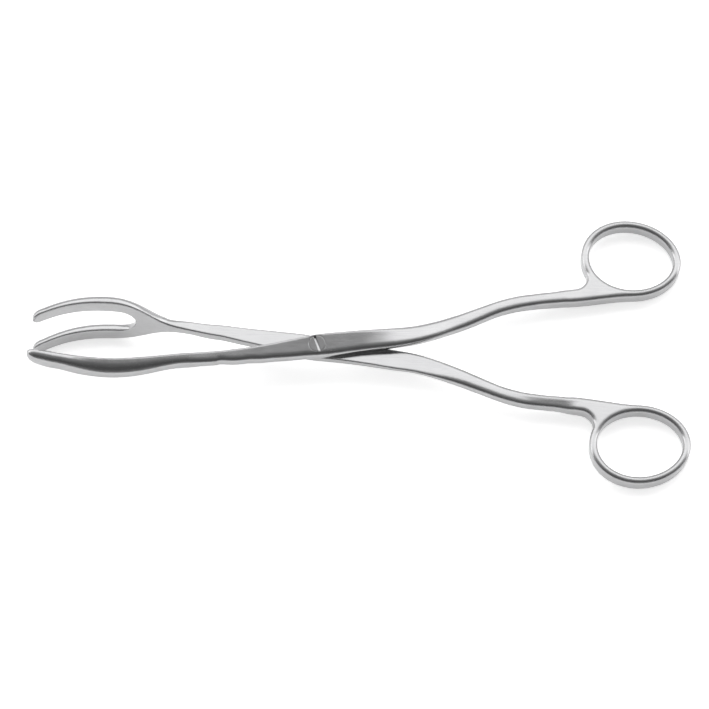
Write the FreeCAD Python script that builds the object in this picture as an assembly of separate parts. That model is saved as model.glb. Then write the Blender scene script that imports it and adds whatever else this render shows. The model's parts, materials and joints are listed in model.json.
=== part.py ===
import FreeCAD, Part
import math
import os

# Three-prong sterilizing forceps: a two-pronged fork arm and a single-pronged arm,
# half-lapped and turning on a slotted screw. Sizes in millimetres, angles in degrees.
#
# An arm is drawn by itself. Its lap face is the plane z = 0 with the metal above it, the
# pivot is the z axis, the finger ring lies towards +x and +y, the jaw towards -x and -y.
# The fork arm is then turned over about x, so that the two lap faces meet. Last of all the
# whole forceps is laid on the plane z = 0, where it rests on the fork and both rings.

Vector = FreeCAD.Vector
ORIGIN = Vector(0, 0, 0)
JOIN_TOLERANCE = 0.02

# Joint: a flat lap inside, and outside a plane canted down towards the side facing out
LAP_LENGTH = 30.0
LAP_CLEARANCE = 0.04
LAP_EDGE = 0.25
PIVOT_OFFSET = 0.4
FACE_HEIGHT = 3.2
FACE_CANT = 8.0
FACE_TURN = 12.5
CRISP_EDGE = 0.35
SOFT_EDGE_ACROSS = 1.5
SOFT_EDGE_UP = 1.2
JAW_BLEND_START_X = -6.0
JAW_BLEND_END_X = 8.0

# Pivot screw
HEAD_DIAMETER = 4.9
HEAD_DEPTH = 1.0
HEAD_CLEARANCE = 0.05
JOURNAL_DIAMETER = 3.2
JOURNAL_CLEARANCE = 0.03
THREAD_DIAMETER = 2.8
THREAD_CLEARANCE = 0.02
DRIVE_SLOT_WIDTH = 0.7
DRIVE_SLOT_DEPTH = 0.7
DRIVE_SLOT_ANGLE = 109.0
SINK_CHAMFER = 0.12

# Handle, in plan: straight through the joint, a bend out, a bend back
JOINT_SLOPE = 8.4
OUT_SLOPE = 23.9
END_SLOPE = 6.6
OUT_BEND_X = 31.8
BACK_BEND_X = 58.5
OUT_BEND_RADIUS = 45.0
BACK_BEND_RADIUS = 43.0
HANDLE_END_X = 76.0
HANDLE_HEIGHT = 3.6
HANDLE_EDGE = 1.3
HANDLE_DROP = 16.0
TWIST_START_X = 8.0
TWIST_END_X = 36.0
TWISTED_LOW_HEIGHT = 3.6
TWISTED_HIGH_HEIGHT = 3.2

# Finger ring
RING_X = 95.6
RING_Y = 31.4
RING_LENGTH = 28.0
RING_WIDTH = 23.8
RING_TURN = -6.0
RING_EGG = -0.04
RING_WALL = 2.3
RING_DEPTH = 4.5
RING_EDGE = 0.85
NOTCH_LENGTH = 2.6
NOTCH_ANGLE = 208.0
NOTCH_HANDLE = 2.6
WEB_ANGLE = 277.0
WEB_HANDLE = 7.0

# Fork: a flat strip bent in plan, cut to two prongs, rounded over on its back
FORK_TIP_X = -85.2
FORK_NECK_X = -45.0
FORK_PRONG_WIDTH = 5.2
FORK_SPLAY = 3.2
FORK_STRAIGHT_X = -63.0
FORK_SLOT_END_X = -54.0
FORK_SLOT_RADIUS = 5.8
FORK_BACK_EDGE = 1.65
FORK_FACE_EDGE = 0.3
FORK_NECK_EDGE = 0.5
FORK_DROP = 10.0
FORK_FLARE = 9.0

# Single prong
PRONG_TIP_X = -86.4
PRONG_POINT_LENGTH = 10.4
PRONG_ROUND_ACROSS = 0.62
PRONG_ROUND_UP = 0.7
PRONG_TOP_SLOPE = 0.86
PRONG_DROP = 12.0
PRONG_DOME = 20.0

# Curves of the arms along x: pairs of x and a size at that x
WIDTH = [(-12, 5.0), (-6, 5.9), (0, 6.7), (6, 6.6), (12, 6.3), (19, 5.9), (26, 5.6), (33, 5.35),
         (39, 5.1), (46, 4.65), (54, 3.9), (62, 3.6), (70, 3.8), (76, 4.3)]
FORK_FACE = [(-85.2, -2.2), (-81, -4.2), (-77, -5.9), (-73.5, -6.95), (-69.7, -7.7),
             (-66, -8.05), (-62, -8.1), (-56, -7.7), (-50.8, -6.95), (-46, -6.1), (-41, -5.25),
             (-35, -4.45), (-29, -3.55), (-23, -2.1), (-17, -0.65), (-11, 0.8), (-5, 2.35),
             (1, 3.55), (8, 4.35)]
FORK_THICKNESS = [(-85.2, 2.3), (-77, 2.5), (-66, 2.8), (-56, 2.85), (-46, 2.9), (-41, 3.0),
                  (-35, 3.25), (-29, 3.85), (-23, 4.6), (-17, 5.4), (-11, 6.25), (-5, 7.2),
                  (1, 7.6), (8, 7.0)]
FORK_HALF_HEIGHT = [(-66, 11.5), (-62, 11.2), (-58, 10.5), (-54.3, 8.9), (-50.8, 6.5), (-47, 3.7),
                    (-44, 2.25), (-41, 1.75), (-38, 1.7)]
PRONG_FACE = [(-86.4, -2.3), (-84, -2.75), (-80, -3.6), (-76, -4.4), (-70, -5.4), (-64, -5.95),
              (-58, -5.9), (-52, -5.3), (-46, -4.4), (-41, -3.65), (-35, -3.4), (-29, -3.0),
              (-23, -2.2), (-17, -1.1), (-11, 0.3), (-5, 1.8), (1, 3.15), (8, 3.95)]
PRONG_DEPTH = [(-76, 3.8), (-70, 4.4), (-64, 4.7), (-58, 4.7), (-52, 4.4), (-46, 3.75), (-41, 3.3),
               (-35, 3.32), (-29, 3.38), (-23, 3.75), (-17, 4.32), (-11, 5.12), (-5, 5.96),
               (1, 6.6), (8, 6.55)]
PRONG_HALF_HEIGHT = [(-76, 2.8), (-70, 3.15), (-62, 3.3), (-54, 3.15), (-48, 2.75), (-42, 2.2),
                     (-38, 2.0)]


def curve_through(stations):
    """The natural cubic spline through pairs of x and value, as a function of x."""
    xs = [float(station[0]) for station in stations]
    ys = [float(station[1]) for station in stations]
    count = len(xs)
    gaps = [xs[i + 1] - xs[i] for i in range(count - 1)]
    slopes = [(ys[i + 1] - ys[i]) / gaps[i] for i in range(count - 1)]
    lead = [0.0] * count
    rest = [0.0] * count
    for i in range(1, count - 1):
        scale = 2 * (gaps[i - 1] + gaps[i]) - gaps[i - 1] * lead[i - 1]
        lead[i] = gaps[i] / scale
        rest[i] = (6 * (slopes[i] - slopes[i - 1]) - gaps[i - 1] * rest[i - 1]) / scale
    bend = [0.0] * count
    for i in range(count - 2, 0, -1):
        bend[i] = rest[i] - lead[i] * bend[i + 1]

    def value(x):
        i = 0
        while i < count - 2 and x > xs[i + 1]:
            i += 1
        gap = gaps[i]
        a = (xs[i + 1] - x) / gap
        b = (x - xs[i]) / gap
        straight = a * ys[i] + b * ys[i + 1]
        return straight + ((a**3 - a) * bend[i] + (b**3 - b) * bend[i + 1]) * gap * gap / 6

    return value


width_at = curve_through(WIDTH)
fork_face = curve_through(FORK_FACE)
fork_thickness = curve_through(FORK_THICKNESS)
fork_half_height = curve_through(FORK_HALF_HEIGHT)
prong_face = curve_through(PRONG_FACE)
prong_depth = curve_through(PRONG_DEPTH)
prong_half_height = curve_through(PRONG_HALF_HEIGHT)


def ease(x, start, end):
    """0 before start, 1 after end, smooth in slope and curvature between them."""
    t = (x - start) / (end - start)
    t = min(1.0, max(0.0, t))
    return t**3 * (10 - 15 * t + 6 * t * t)


def mix(a, b, t):
    return a + (b - a) * t


def steps(start, end, longest):
    """Even stations from start to end, both included."""
    count = max(1, math.ceil(abs(end - start) / longest))
    return [mix(start, end, i / count) for i in range(count + 1)]


def bend_y(x, corner_x, corner_y, slope_in, slope_out, radius):
    """Height of a line that turns at a corner, with the corner rounded to a radius."""
    a = math.radians(slope_in)
    b = math.radians(slope_out)
    tangent = radius * math.tan(abs(b - a) / 2)
    start_x = corner_x - tangent * math.cos(a)
    end_x = corner_x + tangent * math.cos(b)
    if x <= start_x:
        return corner_y + (x - corner_x) * math.tan(a)
    if x >= end_x:
        return corner_y + (x - corner_x) * math.tan(b)
    side = 1 if b > a else -1
    start_y = corner_y - tangent * math.sin(a)
    centre_x = start_x - side * radius * math.sin(a)
    centre_y = start_y + side * radius * math.cos(a)
    return centre_y - side * math.sqrt(radius**2 - (x - centre_x) ** 2)


def handle_y(x):
    """Centre line of the joint and the handle, in plan."""
    out_y = OUT_BEND_X * math.tan(math.radians(JOINT_SLOPE)) - PIVOT_OFFSET
    back_y = out_y + (BACK_BEND_X - OUT_BEND_X) * math.tan(math.radians(OUT_SLOPE))
    if x < (OUT_BEND_X + BACK_BEND_X) / 2:
        return bend_y(x, OUT_BEND_X, out_y, JOINT_SLOPE, OUT_SLOPE, OUT_BEND_RADIUS)
    return bend_y(x, BACK_BEND_X, back_y, OUT_SLOPE, END_SLOPE, BACK_BEND_RADIUS)


def face_z(x, y):
    """Height of the canted plane that the joint is ground to outside."""
    across = y - x * math.tan(math.radians(FACE_TURN))
    return FACE_HEIGHT + across * math.tan(math.radians(FACE_CANT))


def section(x, low_y, high_y, low_z, face_low_z, face_high_z, corners):
    """A closed wire in the plane of constant x.

    The lap side lies at low_z. The outer face runs from face_low_z at low_y to face_high_z
    at high_y. Each corner is an (across, up) pair of rounding lengths, in the order lap
    low_y, lap high_y, face high_y, face low_y.
    """
    points = [
        Vector(x, low_y, low_z),
        Vector(x, high_y, low_z),
        Vector(x, high_y, face_high_z),
        Vector(x, low_y, face_low_z),
    ]
    fullness = 0.5523
    starts = []
    curves = []
    for i in range(4):
        before = (points[i - 1] - points[i]).normalize()
        after = (points[(i + 1) % 4] - points[i]).normalize()
        across, up = corners[i]
        reach_before = before * (up if i % 2 == 0 else across)
        reach_after = after * (across if i % 2 == 0 else up)
        first = points[i] + reach_before
        last = points[i] + reach_after
        starts.append((first, last))
        curves.append(bezier(first, reach_before * -fullness, reach_after * fullness, last))
    edges = []
    for i in range(4):
        edges.append(curves[i])
        edges.append(Part.LineSegment(starts[i][1], starts[(i + 1) % 4][0]).toShape())
    return Part.Wire(edges)


def loft(sections):
    return Part.makeLoft(sections, True, False)


def spline(points):
    curve = Part.BSplineCurve()
    curve.interpolate(Points=points)
    return curve.toShape()


def bezier(start, start_handle, end_handle, end):
    """A cubic curve that leaves along one handle and arrives along the other."""
    curve = Part.BezierCurve()
    curve.setPoles([start, start + start_handle, end - end_handle, end])
    return curve.toShape()


def stretch(edge_y, x):
    """How much longer a rounding is across a section that its edge meets at a slant."""
    near = 0.1
    return math.hypot(1, (edge_y(x + near) - edge_y(x - near)) / (2 * near))


def bar_section(x, low_edge, high_edge):
    """The bar from the lap to the ring.

    Past the lap it drops to the middle plane, turns its cant away and grows to the ring.
    """
    low_y = low_edge(x)
    high_y = high_edge(x)
    twist = ease(x, TWIST_START_X, TWIST_END_X)
    drop = ease(x, LAP_LENGTH, LAP_LENGTH + HANDLE_DROP)
    grow = ease(x, LAP_LENGTH, HANDLE_END_X)
    half_height = mix(HANDLE_HEIGHT, RING_DEPTH, grow) / 2
    low_z = mix(LAP_CLEARANCE / 2, -half_height, drop)
    face_low = mix(mix(face_z(x, low_y), TWISTED_LOW_HEIGHT, twist), half_height, drop)
    face_high = mix(mix(face_z(x, high_y), TWISTED_HIGH_HEIGHT, twist), half_height, drop)
    lap_edge = mix(LAP_EDGE, mix(HANDLE_EDGE, RING_EDGE, grow), drop)
    crisp = mix(mix(CRISP_EDGE, HANDLE_EDGE, twist), RING_EDGE, grow)
    soft_across = mix(mix(SOFT_EDGE_ACROSS, HANDLE_EDGE, twist), RING_EDGE, grow)
    soft_up = mix(mix(SOFT_EDGE_UP, HANDLE_EDGE, twist), RING_EDGE, grow)
    low_stretch = stretch(low_edge, x)
    high_stretch = stretch(high_edge, x)
    corners = [
        (lap_edge * low_stretch, lap_edge),
        (lap_edge * high_stretch, lap_edge),
        (crisp * high_stretch, crisp),
        (soft_across * low_stretch, soft_up),
    ]
    return section(x, low_y, high_y, low_z, face_low, face_high, corners)


def bar_body(jaw_face, jaw_depth):
    """The lapped length and the handle, as far as the ring."""

    def high_edge(x):
        jaw = 1 - ease(x, JAW_BLEND_START_X, JAW_BLEND_END_X)
        return mix(handle_y(x) + width_at(x) / 2, jaw_face(x), jaw)

    def low_edge(x):
        jaw = 1 - ease(x, JAW_BLEND_START_X, JAW_BLEND_END_X)
        return mix(handle_y(x) - width_at(x) / 2, jaw_face(x) - jaw_depth(x), jaw)

    stations = steps(-LAP_LENGTH, LAP_LENGTH, 4) + steps(LAP_LENGTH, HANDLE_END_X, 3.5)[1:]
    return loft([bar_section(x, low_edge, high_edge) for x in stations])


def oval_point(angle, grow):
    """A point that far outside the ring's middle line, at an angle about its centre."""
    t = math.radians(angle)
    u = (RING_LENGTH / 2 + grow) * math.cos(t)
    v = (RING_WIDTH / 2 + grow) * math.sin(t) * (1 + RING_EGG * math.cos(t))
    turn = math.radians(RING_TURN)
    x = RING_X + u * math.cos(turn) - v * math.sin(turn)
    y = RING_Y + u * math.sin(turn) + v * math.cos(turn)
    return Vector(x, y, 0)


def ring_outline():
    """Outer contour of the ring with its web and the stub of the handle."""
    half = width_at(HANDLE_END_X) / 2
    middle = handle_y(HANDLE_END_X)
    near = 0.5
    widen = (width_at(HANDLE_END_X) - width_at(HANDLE_END_X - near)) / 2 / near
    rise = math.tan(math.radians(END_SLOPE))
    outer_direction = Vector(1, rise + widen, 0).normalize()
    inner_direction = Vector(1, rise - widen, 0).normalize()
    outer_start = Vector(HANDLE_END_X, middle + half, 0)
    inner_start = Vector(HANDLE_END_X, middle - half, 0)
    notch_start = outer_start + outer_direction * NOTCH_LENGTH
    around = [oval_point(a, RING_WALL / 2) for a in steps(NOTCH_ANGLE, WEB_ANGLE - 360, 14)]
    oval = spline(around)
    into_oval = oval.tangentAt(oval.FirstParameter)
    out_of_oval = oval.tangentAt(oval.LastParameter)
    edges = [
        Part.LineSegment(inner_start, outer_start).toShape(),
        Part.LineSegment(outer_start, notch_start).toShape(),
        bezier(notch_start, outer_direction * NOTCH_HANDLE, into_oval * NOTCH_HANDLE, around[0]),
        oval,
        bezier(around[-1], out_of_oval * WEB_HANDLE, inner_direction * -WEB_HANDLE, inner_start),
    ]
    return Part.Wire(edges)


def ring_body():
    """Finger ring and web: a flat plate with an oval hole and its edges rounded over."""
    hole_points = [oval_point(a, -RING_WALL / 2) for a in steps(0, 360, 15)[:-1]]
    hole_curve = Part.BSplineCurve()
    hole_curve.interpolate(Points=hole_points, PeriodicFlag=True)
    depth = Vector(0, 0, RING_DEPTH)
    plate = Part.Face(ring_outline()).extrude(depth)
    plate = plate.cut(Part.Face(Part.Wire(hole_curve.toShape())).extrude(depth))
    plate.translate(depth * -0.5)
    edges = []
    for edge in plate.Edges:
        box = edge.BoundBox
        if box.ZLength < 1e-6 and box.XMax > HANDLE_END_X + 0.01:
            edges.append(edge)
    return plate.makeFillet(RING_EDGE, edges)


def fork_plan():
    """The bent strip that the fork is cut from, seen from above."""
    xs = steps(FORK_TIP_X - 1, FORK_NECK_X, 4)
    face = [Vector(x, fork_face(x), 0) for x in xs]
    back = [Vector(x, fork_face(x) - fork_thickness(x), 0) for x in reversed(xs)]
    edges = [
        spline(face),
        Part.LineSegment(face[-1], back[0]).toShape(),
        spline(back),
        Part.LineSegment(back[-1], face[0]).toShape(),
    ]
    reach = 2 * max(size for x, size in FORK_HALF_HEIGHT)
    strip = Part.Face(Part.Wire(edges)).extrude(Vector(0, 0, 2 * reach))
    strip.translate(Vector(0, 0, -reach))
    return strip


def fork_side_edges():
    """Upper half of the fork's side view: slot end, prong, tip and palm."""
    splay = math.radians(FORK_SPLAY)
    along = Vector(-math.cos(splay), 0, math.sin(splay))
    outward = Vector(math.sin(splay), 0, math.cos(splay))
    slot_centre = Vector(FORK_SLOT_END_X - FORK_SLOT_RADIUS, 0, 0)
    slot_end = slot_centre + Vector(FORK_SLOT_RADIUS, 0, 0)
    slot_side = slot_centre + outward * FORK_SLOT_RADIUS
    slot_between = slot_centre + (outward + Vector(1, 0, 0)).normalize() * FORK_SLOT_RADIUS
    tip_reach = (slot_centre.x - FORK_TIP_X) / math.cos(splay) - FORK_PRONG_WIDTH / 2
    inner_end = slot_side + along * tip_reach
    outer_end = inner_end + outward * FORK_PRONG_WIDTH
    tip = (inner_end + outer_end) * 0.5 + along * (FORK_PRONG_WIDTH / 2)
    straight = (FORK_STRAIGHT_X - outer_end.x) / along.x
    palm_start = outer_end + along * straight
    xs = steps(FORK_STRAIGHT_X, FORK_NECK_X, 3)[1:]
    palm = [palm_start] + [Vector(x, 0, fork_half_height(x)) for x in xs]
    return [
        Part.Arc(slot_end, slot_between, slot_side).toShape(),
        Part.LineSegment(slot_side, inner_end).toShape(),
        Part.Arc(inner_end, tip, outer_end).toShape(),
        Part.LineSegment(outer_end, palm_start).toShape(),
        spline(palm),
    ]


def round_face_edges(jaw, face_y, radius):
    """Round the outline edges that lie on one face of the strip."""
    edges = []
    for edge in jaw.Edges:
        middle = edge.valueAt((edge.FirstParameter + edge.LastParameter) / 2)
        on_face = abs(middle.y - face_y(middle.x)) < 0.05
        if on_face and middle.x < FORK_NECK_X - 0.01:
            edges.append(edge)
    return jaw.makeFillet(radius, edges)


def fork_jaw():
    """The fork: a bent strip cut to a two-pronged outline, rounded over on its back."""
    upper = fork_side_edges()
    mirror = [edge.mirror(ORIGIN, Vector(0, 0, 1)) for edge in upper]
    end_z = fork_half_height(FORK_NECK_X)
    neck = Part.LineSegment(Vector(FORK_NECK_X, 0, end_z), Vector(FORK_NECK_X, 0, -end_z))
    outline = Part.Wire(Part.__sortEdges__(upper + [neck.toShape()] + mirror))
    reach = 3 * max(-y for x, y in FORK_FACE)
    side = Part.Face(outline).extrude(Vector(0, -2 * reach, 0))
    side.translate(Vector(0, reach, 0))
    jaw = fork_plan().common(side)
    jaw = round_face_edges(jaw, lambda x: fork_face(x) - fork_thickness(x), FORK_BACK_EDGE)
    return round_face_edges(jaw, fork_face, FORK_FACE_EDGE)


def fork_shank():
    """From the fork's neck to the lap, where the bar is thickest."""
    back_up_edge = FORK_BACK_EDGE * 1.2
    sections = []
    for x in steps(FORK_NECK_X, -LAP_LENGTH, 2.5):
        drop = ease(-x, LAP_LENGTH, LAP_LENGTH + FORK_DROP)
        flare = ease(-x, -FORK_NECK_X - FORK_FLARE, -FORK_NECK_X)
        half = fork_half_height(x)
        high = fork_face(x)
        low = high - fork_thickness(x)
        low_z = mix(LAP_CLEARANCE / 2, -half, drop)
        face_low = mix(face_z(x, low), half, drop)
        face_high = mix(face_z(x, high), half, drop)
        face_edge = mix(CRISP_EDGE, FORK_FACE_EDGE, drop)
        lap_edge = mix(LAP_EDGE, FORK_FACE_EDGE, drop)
        back_across = mix(mix(SOFT_EDGE_ACROSS, FORK_NECK_EDGE, drop), FORK_BACK_EDGE, flare)
        back_up = mix(mix(SOFT_EDGE_UP, FORK_NECK_EDGE, drop), back_up_edge, flare)
        lap_across = mix(LAP_EDGE, mix(FORK_NECK_EDGE, FORK_BACK_EDGE, flare), drop)
        lap_up = mix(LAP_EDGE, mix(FORK_NECK_EDGE, back_up_edge, flare), drop)
        corners = [
            (lap_across, lap_up),
            (lap_edge, lap_edge),
            (face_edge, face_edge),
            (back_across, back_up),
        ]
        sections.append(section(x, low, high, low_z, face_low, face_high, corners))
    return loft(sections)


def prong_jaw():
    """The single prong: flat inside, domed outside, tapering to a rounded point."""
    point_x = PRONG_TIP_X + PRONG_POINT_LENGTH
    stations = steps(-LAP_LENGTH, point_x, 3)
    for angle in (15, 30, 45, 58, 70, 80, 86):
        stations.append(point_x - PRONG_POINT_LENGTH * math.sin(math.radians(angle)))
    sections = []
    for x in stations:
        body_x = max(x, point_x)
        taper = math.sqrt(1 - ((body_x - x) / PRONG_POINT_LENGTH) ** 2)
        drop = ease(-x, LAP_LENGTH, LAP_LENGTH + PRONG_DROP)
        dome = ease(-x, LAP_LENGTH, LAP_LENGTH + PRONG_DOME)
        half = prong_half_height(body_x) * taper
        depth = prong_depth(body_x) * taper
        high = prong_face(x)
        low = high - depth
        low_z = mix(LAP_CLEARANCE / 2, -half, drop)
        face_low = mix(face_z(x, low), half * PRONG_TOP_SLOPE, drop)
        face_high = mix(face_z(x, high), half, drop)
        edge = min(CRISP_EDGE, 0.2 * depth)
        back_across = mix(SOFT_EDGE_ACROSS, PRONG_ROUND_ACROSS * depth, dome)
        back_up = mix(SOFT_EDGE_UP, PRONG_ROUND_UP * half, dome)
        lap_across = mix(LAP_EDGE, PRONG_ROUND_ACROSS * depth, dome)
        lap_up = mix(LAP_EDGE, PRONG_ROUND_UP * half, dome)
        corners = [(lap_across, lap_up), (edge, edge), (edge, edge), (back_across, back_up)]
        sections.append(section(x, low, high, low_z, face_low, face_high, corners))
    return loft(sections)


def join(pieces):
    """One solid of bodies that meet face to face."""
    body = pieces[0]
    for piece in pieces[1:]:
        body = body.fuse((piece,), JOIN_TOLERANCE)
    return body


def face_placement():
    """A placement whose local xy plane is the canted face, centred over the pivot."""
    up = Vector(-1, 0, face_z(1, 0) - face_z(0, 0))
    side = Vector(0, 1, face_z(0, 1) - face_z(0, 0))
    normal = side.cross(up).normalize()
    rotation = FreeCAD.Rotation(Vector(0, 0, 1), normal)
    return FreeCAD.Placement(Vector(0, 0, FACE_HEIGHT), rotation)


def above_face():
    """Everything over the canted face, near the pivot."""
    size = 4 * HEAD_DIAMETER
    block = Part.makeBox(size, size, size, Vector(-size / 2, -size / 2, 0))
    block.Placement = face_placement()
    return block


def stepped_round(head_radius, journal_radius, bottom_z):
    """A round body with a straight head, a 45 degree cone and a straight journal."""
    cone_top_z = FACE_HEIGHT - HEAD_DEPTH
    cone_height = head_radius - journal_radius
    over = HEAD_DIAMETER
    head = Part.makeCylinder(head_radius, over, Vector(0, 0, cone_top_z))
    cone = Part.makeCone(journal_radius, head_radius, cone_height, Vector(0, 0, cone_top_z - cone_height))
    length = cone_top_z - cone_height - bottom_z
    journal = Part.makeCylinder(journal_radius, length, Vector(0, 0, bottom_z))
    return join([head, cone, journal])


def prong_arm():
    """The upper arm: single prong, joint with its countersunk bore, handle and ring."""
    arm = join([prong_jaw(), bar_body(prong_face, prong_depth), ring_body()])
    head_radius = HEAD_DIAMETER / 2 + HEAD_CLEARANCE
    journal_radius = JOURNAL_DIAMETER / 2 + JOURNAL_CLEARANCE
    arm = arm.cut(stepped_round(head_radius, journal_radius, -1))
    mouth = []
    for edge in arm.Edges:
        box = edge.BoundBox
        middle = edge.valueAt((edge.FirstParameter + edge.LastParameter) / 2)
        round_pivot = abs(math.hypot(middle.x, middle.y) - head_radius) < 0.01
        if round_pivot and box.ZMax > FACE_HEIGHT and box.XLength > head_radius:
            mouth.append(edge)
    return arm.makeChamfer(SINK_CHAMFER, mouth)


def fork_arm():
    """The lower arm: fork, joint with its tapped hole, handle and ring, turned over."""
    arm = join([fork_jaw(), fork_shank(), bar_body(fork_face, fork_thickness), ring_body()])
    hole_radius = THREAD_DIAMETER / 2 + THREAD_CLEARANCE
    arm = arm.cut(Part.makeCylinder(hole_radius, 3 * FACE_HEIGHT, Vector(0, 0, -FACE_HEIGHT)))
    arm.rotate(ORIGIN, Vector(1, 0, 0), 180)
    return arm


def pivot_screw():
    """Countersunk screw, ground flush with the outer face of each arm."""
    shoulder_z = -LAP_CLEARANCE / 2
    screw = stepped_round(HEAD_DIAMETER / 2, JOURNAL_DIAMETER / 2, shoulder_z)
    length = 3 * FACE_HEIGHT
    thread = Part.makeCylinder(THREAD_DIAMETER / 2, length, Vector(0, 0, shoulder_z - length))
    screw = screw.fuse(thread)
    slot = Part.makeBox(
        2 * HEAD_DIAMETER,
        DRIVE_SLOT_WIDTH,
        HEAD_DIAMETER,
        Vector(-HEAD_DIAMETER, -DRIVE_SLOT_WIDTH / 2, -DRIVE_SLOT_DEPTH),
    )
    slot.rotate(ORIGIN, Vector(0, 0, 1), DRIVE_SLOT_ANGLE)
    slot.Placement = face_placement().multiply(slot.Placement)
    below_face = above_face()
    below_face.rotate(ORIGIN, Vector(1, 0, 0), 180)
    return screw.cut(above_face()).cut(slot).cut(below_face)


def lowest(shape, pitch):
    turned = shape.copy()
    turned.rotate(ORIGIN, Vector(0, 1, 0), pitch)
    return turned.optimalBoundingBox(False, False).ZMin


def resting_pitch():
    """Pitch at which the fork's lower prong and the ring touch one flat surface."""
    fork = fork_jaw()
    ring = ring_body()
    span = RING_X - FORK_TIP_X
    pitch = 0.0
    for _ in range(5):
        difference = lowest(ring, pitch) - lowest(fork, pitch)
        pitch += math.degrees(math.atan(difference / span))
    return pitch


def build():
    """All pieces by name, resting on z = 0 with the middle of their outline on the z axis."""
    pieces = {"prong_arm": prong_arm(), "fork_arm": fork_arm(), "pivot_screw": pivot_screw()}
    pitch = resting_pitch()
    for shape in pieces.values():
        shape.rotate(ORIGIN, Vector(0, 1, 0), pitch)
    box = Part.makeCompound(list(pieces.values())).optimalBoundingBox(False, False)
    middle_x = (box.XMin + box.XMax) / 2
    middle_y = (box.YMin + box.YMax) / 2
    for shape in pieces.values():
        shape.translate(Vector(-middle_x, -middle_y, -box.ZMin))
    print("pitch", pitch, "shift", -middle_x, -middle_y, -box.ZMin)
    return pieces


os.makedirs("parts", exist_ok=True)
for name, shape in build().items():
    shape.exportStep("parts/" + name + ".step")
    print(name, "solids", len(shape.Solids), "valid", shape.isValid(), "volume", round(shape.Volume, 1))
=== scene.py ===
import json
import math
import bpy
from mathutils import Matrix, Vector


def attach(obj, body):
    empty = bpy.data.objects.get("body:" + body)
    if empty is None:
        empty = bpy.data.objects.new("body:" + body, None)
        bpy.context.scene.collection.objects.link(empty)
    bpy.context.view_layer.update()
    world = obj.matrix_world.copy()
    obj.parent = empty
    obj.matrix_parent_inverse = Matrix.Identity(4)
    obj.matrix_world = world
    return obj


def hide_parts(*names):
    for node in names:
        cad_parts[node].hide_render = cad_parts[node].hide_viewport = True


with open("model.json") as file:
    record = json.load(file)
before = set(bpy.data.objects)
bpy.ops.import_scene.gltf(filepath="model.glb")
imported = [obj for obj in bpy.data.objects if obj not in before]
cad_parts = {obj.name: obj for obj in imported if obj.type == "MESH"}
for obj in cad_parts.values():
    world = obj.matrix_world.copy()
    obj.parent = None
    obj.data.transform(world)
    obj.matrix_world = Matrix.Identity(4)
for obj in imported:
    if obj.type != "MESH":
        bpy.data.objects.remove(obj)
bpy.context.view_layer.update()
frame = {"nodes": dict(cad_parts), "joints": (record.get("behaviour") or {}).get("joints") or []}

# Directions of the frame, and the hinge
ALONG = Vector((1, 0, 0))
SIDE = Vector((0, 1, 0))
UP = Vector((0, 0, 1))
PIVOT = Vector(frame["joints"][0]["pos_m"])
HINGE_AXIS = Vector(frame["joints"][0]["axis"])
MILLIMETRES = 1000.0

# The sizes of the moves are in the hinge's own frame, in millimetres from the pivot

# Outer faces of the joint, canted, and the screw in them
FACE_HEIGHT = 3.2
CANT = math.tan(math.radians(8.0))
CANT_TURN = math.tan(math.radians(12.5))
HEAD_RADIUS = 2.5
SLOT_DEPTH = 0.7
SLOT_TOLERANCE = 0.08

# Lower side of the joint, made thinner
THINNING = 1.4
THINNING_RANGE = (-52.0, -8.0)
THINNING_END_RANGE = (30.0, 60.0)

# Handles, fuller in front and flatter below; the upper one's middle line as x and y
HANDLE_MIDDLE = [
    (0.0, -0.4), (10.0, 1.1), (20.0, 2.55), (25.7, 3.4), (31.8, 4.7), (37.4, 6.8),
    (45.0, 10.15), (52.5, 13.45), (58.5, 15.65), (65.0, 16.9), (76.0, 18.15), (82.0, 18.85),
]
HANDLE_FULLNESS = 0.6
HANDLE_START_RANGE = (10.0, 26.0)
HANDLE_END_RANGE = (58.0, 74.0)
FULL_SIDE_RANGE = (-0.5, 1.6)
UNDERCUT_HEIGHT = 2.2
UNDERCUT_END_RANGE = (34.0, 50.0)
HANDLE_FLATTENING = 0.35
FLATTENING_START_RANGE = (34.0, 48.0)

# Slopes from the joint to the jaws, made longer: distances towards the jaws
JAW_HEIGHT = 1.85
PRONG_SLOPE_RANGE = (30.0, 42.0)
PRONG_LONG_SLOPE_RANGE = (18.0, 54.0)
FORK_SLOPE_RANGE = (30.0, 40.0)
FORK_LONG_SLOPE_RANGE = (28.0, 46.0)

# Neck of the lower ring, canted by an angle in degrees
NECK_CANT = 9.0
NECK_START_RANGE = (55.0, 72.0)
NECK_END_RANGE = (72.5, 78.0)

# Single prong, slimmer, slightly domed and blunter
PRONG_TIP_X = -86.4
PRONG_POINT_X = -76.0
PRONG_POINT_DEPTH = 3.8
BLUNT_POINT_X = -77.4
BLUNTNESS = 3.2
TIP_SHARE = 0.15
PRONG_DOME = 0.14
DOME_RANGE = (-52.0, -30.0)
LEVEL_TIP = 0.17
LEVEL_TIP_RANGE = (-80.0, -62.0)

# The prong's gripping face as x and y, and the share of its depth that is left as x and share
PRONG_FACE = [
    (-86.4, -2.3), (-84, -2.75), (-80, -3.6), (-76, -4.4), (-70, -5.4), (-64, -5.95),
    (-58, -5.9), (-52, -5.3), (-46, -4.4), (-41, -3.65), (-35, -3.4), (-29, -3.0),
]
SLIMMING = [
    (-86.4, 0.91), (-76, 0.91), (-64, 0.915), (-52, 0.925), (-46, 0.935), (-41, 0.97),
    (-35, 0.98), (-29, 1.0),
]

# Camera: distance in metres, angles in degrees, places in the photo's pixels
CAMERA_DISTANCE = 1.35
CAMERA_TILT = 28.0
CAMERA_ROLL = -0.587
FRAME_PIXELS = 709
PIXELS_PER_METRE = 3348
PIVOT_PIXEL = (316.6, 348.2)
SENSOR_MM = 36.0

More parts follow.
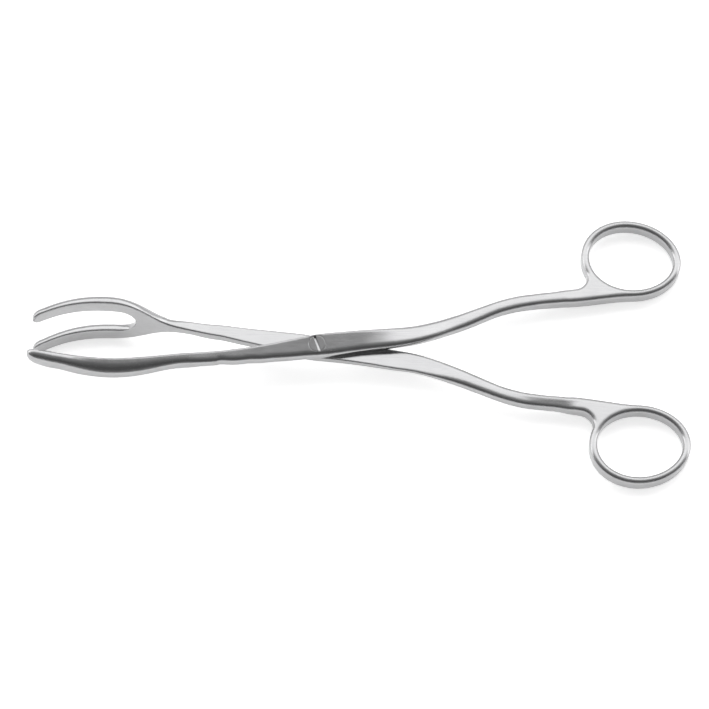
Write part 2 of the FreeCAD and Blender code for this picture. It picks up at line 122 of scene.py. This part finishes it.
# Studio: brightness of the surroundings by angle from straight up, towards the back
SKY = [
    (-90, 0.55), (-76, 0.34), (-62, 0.17), (-48, 0.12), (-36, 0.15), (-20, 0.22), (-4, 0.33),
    (12, 0.45), (19, 0.80), (25, 1.95), (50, 1.95), (60, 0.95), (74, 0.70), (90, 0.58),
]
SIDE_GLOW = 0.5
SIDE_GLOW_START = 0.62
SIDE_GLOW_END = 0.92
FLOOR_SIZE = 6.0
FLOOR_WHITE = 0.92
FLOOR_GLOW = 0.55
LAMP_POWER = 3.0
LAMP_SIZE = 1.6
LAMP_HEIGHT = 1.5

# Steel colour: the noises move it from its middle towards the dull or the bright one
DULL_STEEL = (0.38, 0.38, 0.385, 1.0)
BRIGHT_STEEL = (0.47, 0.47, 0.475, 1.0)
MIDDLE = 0.5
STEEL_SPREAD = 0.9

# Steel roughness, and what each noise adds to it
STEEL_ROUGHNESS = 0.2
GRAIN_ROUGHNESS = 0.10
CLOUD_ROUGHNESS = 0.08
SCUFF_ROUGHNESS = 0.2

# Radius of the worked edges in metres: crisp at the joint and the jaws, softer on the handles
EDGE_SAMPLES = 8
CRISP_EDGE = 0.0008
SOFT_EDGE = 0.0015
EDGE_FADE = 0.022
FORK_CRISP_UNTIL = 0.006
PRONG_CRISP_UNTIL = -0.008

# Round the screw's head the radius is a share of that, so that its seam stays fine
HEAD_MIDDLE = PIVOT + HINGE_AXIS * FACE_HEIGHT / MILLIMETRES
SCREW_REACH = 0.0028
SCREW_FADE = 0.0006
SCREW_EDGE_SHARE = 0.32

# Noises in the steel: scales per metre, depth in metres, angle in radians
GRAIN_SCALE = (70.0, 2400.0, 2400.0)
GRAIN_DETAIL = 2.0
GRAIN_STRENGTH = 0.25
GRAIN_DEPTH = 0.000008
CLOUD_SCALE = 160.0
CLOUD_DETAIL = 3.0
SCUFF_SCALE = (150.0, 2500.0, 800.0)
SCUFF_ANGLE = 0.6
SCUFF_WIDTH = 0.012
SCUFF_DETAIL = 1.0
PATCH_SCALE = 130.0
PATCH_START = 0.62
PATCH_END = 0.72
PATCH_STRENGTH = 0.6


class Wire:
    """A shader socket that can stand in arithmetic; each operation adds a Math node."""

    def __init__(self, shader, socket):
        self.shader = shader
        self.socket = socket

    def math(self, operation, first, second=None):
        sockets = {0: first}
        if second is not None:
            sockets[1] = second
        return self.shader.add("ShaderNodeMath", {"operation": operation}, sockets)

    def __add__(self, other):
        return self.math("ADD", self, other)

    def __sub__(self, other):
        return self.math("SUBTRACT", self, other)

    def __mul__(self, other):
        return self.math("MULTIPLY", self, other)

    def __truediv__(self, other):
        return self.math("DIVIDE", self, other)

    def __radd__(self, other):
        return self.math("ADD", other, self)

    def __rmul__(self, other):
        return self.math("MULTIPLY", other, self)

    def size(self):
        return self.math("ABSOLUTE", self)

    def angle_from(self, other):
        return self.math("ARCTAN2", self, other)


class Shader:
    """The node tree of a material or of the world."""

    def __init__(self, owner):
        owner.use_nodes = True
        self.tree = owner.node_tree
        self.tree.nodes.clear()

    def node(self, kind, settings=None, sockets=None):
        """Adds a node: its settings first, then a value or a link for each socket."""
        node = self.tree.nodes.new(kind)
        for name, value in (settings or {}).items():
            if name == "stops":
                self.set_stops(node.color_ramp, value)
            else:
                setattr(node, name, value)
        for name, value in (sockets or {}).items():
            if isinstance(value, Wire):
                self.tree.links.new(value.socket, node.inputs[name])
            else:
                node.inputs[name].default_value = value
        return node

    def add(self, kind, settings=None, sockets=None, output=0):
        return Wire(self, self.node(kind, settings, sockets).outputs[output])

    def noise(self, place, scale, detail):
        return self.add("ShaderNodeTexNoise", sockets={"Vector": place, "Scale": scale, "Detail": detail})

    def between(self, value, start, end, low, high, interpolation="SMOOTHSTEP"):
        """Low up to start and high from end on, with a change between them."""
        sockets = {0: value, 1: start, 2: end, 3: low, 4: high}
        return self.add("ShaderNodeMapRange", {"interpolation_type": interpolation}, sockets)

    def set_stops(self, ramp, stops):
        while len(ramp.elements) < len(stops):
            ramp.elements.new(1.0)
        for element, (place, colour) in zip(ramp.elements, stops):
            element.position = place
            element.color = colour


def grey(level):
    return (level, level, level, 1.0)


def studio_sky():
    """Soft surroundings: a bright panel high at the back, dim in front, glow at both ends."""
    world = bpy.data.worlds.new("studio_sky")
    bpy.context.scene.world = world
    shader = Shader(world)
    place = shader.add("ShaderNodeTexCoord", output="Generated")
    parts = shader.node("ShaderNodeSeparateXYZ", sockets={0: place})
    x = Wire(shader, parts.outputs[0])
    y = Wire(shader, parts.outputs[1])
    z = Wire(shader, parts.outputs[2])
    turn = y.angle_from(z) / (2 * math.pi) + 0.5
    stops = [(angle / 360 + 0.5, grey(level)) for angle, level in SKY]
    panel = shader.add("ShaderNodeValToRGB", {"stops": stops}, {0: turn})
    glow = shader.between(x.size(), SIDE_GLOW_START, SIDE_GLOW_END, 0.0, SIDE_GLOW)
    background = shader.add("ShaderNodeBackground", sockets={"Color": panel, "Strength": glow + 1.0})
    shader.node("ShaderNodeOutputWorld", sockets={"Surface": background})


def studio_floor():
    """A white floor that keeps the shadow under the forceps."""
    half = FLOOR_SIZE / 2
    mesh = bpy.data.meshes.new("floor")
    corners = [(-half, -half, 0), (half, -half, 0), (half, half, 0), (-half, half, 0)]
    mesh.from_pydata(corners, [], [(0, 1, 2, 3)])
    floor = bpy.data.objects.new("floor", mesh)
    bpy.context.scene.collection.objects.link(floor)
    material = bpy.data.materials.new("white_floor")
    shader = Shader(material)
    rays = shader.node("ShaderNodeLightPath")
    seen = Wire(shader, rays.outputs["Is Camera Ray"])
    seen = seen + Wire(shader, rays.outputs["Is Glossy Ray"])
    seen = seen + Wire(shader, rays.outputs["Is Transmission Ray"])
    paper = shader.add("ShaderNodeBsdfDiffuse", sockets={"Color": grey(FLOOR_WHITE)})
    glow = shader.add("ShaderNodeEmission", sockets={"Color": grey(1.0), "Strength": seen * FLOOR_GLOW})
    both = shader.add("ShaderNodeAddShader", sockets={0: paper, 1: glow})
    shader.node("ShaderNodeOutputMaterial", sockets={"Surface": both})
    mesh.materials.append(material)


def soft_lamp():
    """A large lamp straight above that lights the floor and is not seen in the steel."""
    data = bpy.data.lights.new("soft_lamp", "AREA")
    data.shape = "DISK"
    data.size = LAMP_SIZE
    data.energy = LAMP_POWER
    lamp = bpy.data.objects.new("soft_lamp", data)
    lamp.location = UP * LAMP_HEIGHT
    lamp.visible_glossy = False
    bpy.context.scene.collection.objects.link(lamp)


def photo_camera():
    """The photo's view: the camera stands above the forceps and somewhat in front of them."""
    tilt = math.radians(CAMERA_TILT)
    roll = math.radians(CAMERA_ROLL)
    right = ALONG * math.cos(roll) + SIDE * math.sin(roll)
    away = SIDE * math.cos(roll) - ALONG * math.sin(roll)
    top = away * math.cos(tilt) + UP * math.sin(tilt)
    back = UP * math.cos(tilt) - away * math.sin(tilt)
    data = bpy.data.cameras.new("camera")
    data.sensor_width = SENSOR_MM
    data.lens = PIXELS_PER_METRE * CAMERA_DISTANCE / FRAME_PIXELS * SENSOR_MM
    data.shift_x = 0.5 - PIVOT_PIXEL[0] / FRAME_PIXELS
    data.shift_y = PIVOT_PIXEL[1] / FRAME_PIXELS - 0.5
    data.clip_end = 4 * FLOOR_SIZE
    camera = bpy.data.objects.new("camera", data)
    turned = Matrix((right, top, back)).transposed().to_4x4()
    camera.matrix_world = Matrix.Translation(PIVOT + back * CAMERA_DISTANCE) @ turned
    bpy.context.scene.collection.objects.link(camera)
    bpy.context.scene.camera = camera


def ease(x, start, end):
    """0 before start, 1 after end, smooth in slope and curvature between them."""
    t = min(1.0, max(0.0, (x - start) / (end - start)))
    return t**3 * (10 - 15 * t + 6 * t * t)


def along_curve(points, x):
    """The value at x on a smooth line through pairs of x and value."""
    last = len(points) - 2
    i = 0
    while i < last and x > points[i + 1][0]:
        i += 1
    x0, y0 = points[i]
    x1, y1 = points[i + 1]
    slopes = []
    for k in (i, i + 1):
        before = points[max(k - 1, 0)]
        after = points[min(k + 1, last + 1)]
        slopes.append((after[1] - before[1]) / (after[0] - before[0]))
    gap = x1 - x0
    t = min(1.0, max(0.0, (x - x0) / gap))
    rise = y1 - y0
    curve = slopes[0] * gap * t * (1 - t) ** 2 - slopes[1] * gap * t * t * (1 - t)
    return y0 + rise * t * t * (3 - 2 * t) + curve


def thinner_below(point):
    """The lower arm's outer side, moved up towards the lap."""
    x, y, z = point
    if z >= 0:
        return point
    share = ease(x, *THINNING_RANGE) * (1 - ease(x, *THINNING_END_RANGE))
    height = FACE_HEIGHT + (-y - x * CANT_TURN) * CANT
    return Vector((x, y, z * (1 - share * THINNING / height)))


def milled_slot(point):
    """The floor of the screw's slot, square to the screw."""
    x, y, z = point
    floor = FACE_HEIGHT + (y - x * CANT_TURN) * CANT - SLOT_DEPTH
    if math.hypot(x, y) < HEAD_RADIUS and abs(z - floor) < SLOT_TOLERANCE:
        z = FACE_HEIGHT - SLOT_DEPTH
    return Vector((x, y, z))


def longer_prong_slope(point):
    """The upper arm's outer side, sloping down to the prong over a longer way."""
    x, y, z = point
    if z > 0 and x < 0:
        drop = FACE_HEIGHT - JAW_HEIGHT
        height = FACE_HEIGHT - drop * ease(-x, *PRONG_SLOPE_RANGE)
        z *= (FACE_HEIGHT - drop * ease(-x, *PRONG_LONG_SLOPE_RANGE)) / height
    return Vector((x, y, z))


def longer_fork_slope(point):
    """The lower arm's upper side, rising to the fork over a longer way."""
    x, y, z = point
    rise = ease(-x, *FORK_SLOPE_RANGE)
    if z > 0 and rise > 0:
        z *= min(1.0, ease(-x, *FORK_LONG_SLOPE_RANGE) / rise)
    return Vector((x, y, z))


def handle_middle(x, side):
    """The middle line of a handle in plan; side is 1 for the upper arm and -1 for the lower."""
    return side * along_curve(HANDLE_MIDDLE, x)


def fuller_handle(point, side):
    """A handle's front side, moved out a little, and its underside flattened."""
    x, y, z = point
    if x < HANDLE_START_RANGE[0]:
        return point
    end = 1 - ease(x, *HANDLE_END_RANGE)
    full = ease(handle_middle(x, side) - y, *FULL_SIDE_RANGE)
    if side > 0:
        past_joint = ease(x, *UNDERCUT_END_RANGE)
        full *= past_joint + (1 - past_joint) * ease(z, 0.0, UNDERCUT_HEIGHT)
    y -= HANDLE_FULLNESS * ease(x, *HANDLE_START_RANGE) * end * full
    if z < 0:
        z *= 1 - HANDLE_FLATTENING * ease(x, *FLATTENING_START_RANGE) * end
    return Vector((x, y, z))


def fuller_upper_handle(point):
    return fuller_handle(point, 1)


def fuller_lower_handle(point):
    return fuller_handle(point, -1)


def canted_neck(point):
    """The lower ring's neck, turned a little about the arm's middle line."""
    x, y, z = point
    share = ease(x, *NECK_START_RANGE) * (1 - ease(x, *NECK_END_RANGE))
    angle = math.radians(NECK_CANT) * share
    middle = handle_middle(x, -1)
    across = y - middle
    turned_y = middle + across * math.cos(angle) - z * math.sin(angle)
    turned_z = across * math.sin(angle) + z * math.cos(angle)
    return Vector((x, turned_y, turned_z))


def blunter_prong(point):
    """The single prong, slimmer between its sides and blunter at its tip."""
    x, y, z = point
    if x > SLIMMING[-1][0]:
        return point
    face = along_curve(PRONG_FACE, x)
    slim = along_curve(SLIMMING, x)
    across = min(1.0, max(0.0, face - y) / PRONG_POINT_DEPTH)
    tip = 1 - ease(x, *LEVEL_TIP_RANGE)
    dome = PRONG_DOME * (1 - ease(x, *DOME_RANGE)) * (1 - tip)
    z *= 1 + LEVEL_TIP * tip * across - dome * across**2
    into_point = max(0.0, (PRONG_POINT_X - x) / (PRONG_POINT_X - PRONG_TIP_X))
    into_blunt = max(0.0, (BLUNT_POINT_X - x) / (BLUNT_POINT_X - PRONG_TIP_X))
    taper = math.sqrt(max(0.0, 1 - into_point**2))
    blunt = max(0.0, 1 - into_blunt**BLUNTNESS) ** (1 / BLUNTNESS)
    grow = blunt / taper if taper > 0 else 1.0
    face_down = TIP_SHARE * PRONG_POINT_DEPTH * (1 - blunt)
    return Vector((x, face - face_down - (face - y) * slim * grow, z * grow))


def finished(node, body, name, moves, material):
    """A copy of a node's mesh that goes through the moves and stands for the node."""
    piece = bpy.data.objects.new(name, frame["nodes"][node].data.copy())
    turn = UP.rotation_difference(HINGE_AXIS).to_matrix()
    for vertex in piece.data.vertices:
        point = turn.transposed() @ (vertex.co - PIVOT) * MILLIMETRES
        for move in moves:
            point = move(point)
        vertex.co = turn @ point / MILLIMETRES + PIVOT
    piece.data.materials.clear()
    piece.data.materials.append(material)
    bpy.context.scene.collection.objects.link(piece)
    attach(piece, body)
    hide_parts(node)


def satin_steel(name, crisp_until_x):
    """Satin stainless steel with brushed grain, faint scuffs and its worked edges rounded over."""
    material = bpy.data.materials.new(name)
    shader = Shader(material)
    place = shader.add("ShaderNodeTexCoord", output="Object")
    parts = shader.node("ShaderNodeSeparateXYZ", sockets={0: place})
    x = Wire(shader, parts.outputs[0])

    from_head = shader.add(
        "ShaderNodeVectorMath",
        {"operation": "DISTANCE"},
        {0: place, 1: HEAD_MIDDLE},
        output="Value",
    )
    edge = shader.between(x, crisp_until_x, crisp_until_x + EDGE_FADE, CRISP_EDGE, SOFT_EDGE)
    edge = edge * shader.between(from_head, SCREW_REACH, SCREW_REACH + SCREW_FADE, SCREW_EDGE_SHARE, 1.0)
    rounded = shader.add("ShaderNodeBevel", {"samples": EDGE_SAMPLES}, {"Radius": edge})

    grain = brushed_grain(shader, place)
    scuffs = light_scuffs(shader, place)
    grain_change = grain - MIDDLE
    cloud_change = shader.noise(place, CLOUD_SCALE, CLOUD_DETAIL) - MIDDLE
    colour = shader.add(
        "ShaderNodeMix",
        {"data_type": "RGBA"},
        {
            "Factor": STEEL_SPREAD * grain_change + STEEL_SPREAD * cloud_change + scuffs + MIDDLE,
            "A": DULL_STEEL,
            "B": BRIGHT_STEEL,
        },
        output=2,
    )
    roughness = STEEL_ROUGHNESS + GRAIN_ROUGHNESS * grain_change
    roughness = roughness + CLOUD_ROUGHNESS * cloud_change + SCUFF_ROUGHNESS * scuffs
    brushed = shader.add(
        "ShaderNodeBump",
        sockets={
            "Height": grain + scuffs,
            "Normal": rounded,
            "Strength": GRAIN_STRENGTH,
            "Distance": GRAIN_DEPTH,
        },
    )
    steel = shader.add(
        "ShaderNodeBsdfPrincipled",
        sockets={"Base Color": colour, "Metallic": 1.0, "Roughness": roughness, "Normal": brushed},
    )
    shader.node("ShaderNodeOutputMaterial", sockets={"Surface": steel})
    return material


def brushed_grain(shader, place):
    """Fine streaks along the arm from the polishing belt."""
    stretched = shader.add("ShaderNodeMapping", sockets={"Vector": place, "Scale": GRAIN_SCALE})
    return shader.noise(stretched, 1.0, GRAIN_DETAIL)


def light_scuffs(shader, place):
    """Short fine marks of handling, in a few patches only."""
    stretched = shader.add(
        "ShaderNodeMapping",
        sockets={"Vector": place, "Rotation": (0.0, 0.0, SCUFF_ANGLE), "Scale": SCUFF_SCALE},
    )
    lines = shader.noise(stretched, 1.0, SCUFF_DETAIL)
    thin = shader.between((lines - MIDDLE).size(), 0.0, SCUFF_WIDTH, 1.0, 0.0, "LINEAR")
    patches = shader.noise(place, PATCH_SCALE, SCUFF_DETAIL)
    few = shader.between(patches, PATCH_START, PATCH_END, 0.0, PATCH_STRENGTH, "LINEAR")
    return thin * few


bpy.context.scene.view_settings.view_transform = "Standard"
studio_sky()
studio_floor()
photo_camera()
soft_lamp()
finished(
    "fork_arm",
    "fork_side",
    "finished_fork_arm",
    [thinner_below, longer_fork_slope, fuller_lower_handle, canted_neck],
    satin_steel("fork_arm_steel", FORK_CRISP_UNTIL),
)
finished(
    "prong_arm",
    "prong_side",
    "finished_prong_arm",
    [longer_prong_slope, blunter_prong, fuller_upper_handle],
    satin_steel("prong_arm_steel", PRONG_CRISP_UNTIL),
)
finished(
    "pivot_screw",
    "fork_side",
    "finished_pivot_screw",
    [milled_slot, thinner_below],
    satin_steel("screw_steel", PRONG_CRISP_UNTIL),
)
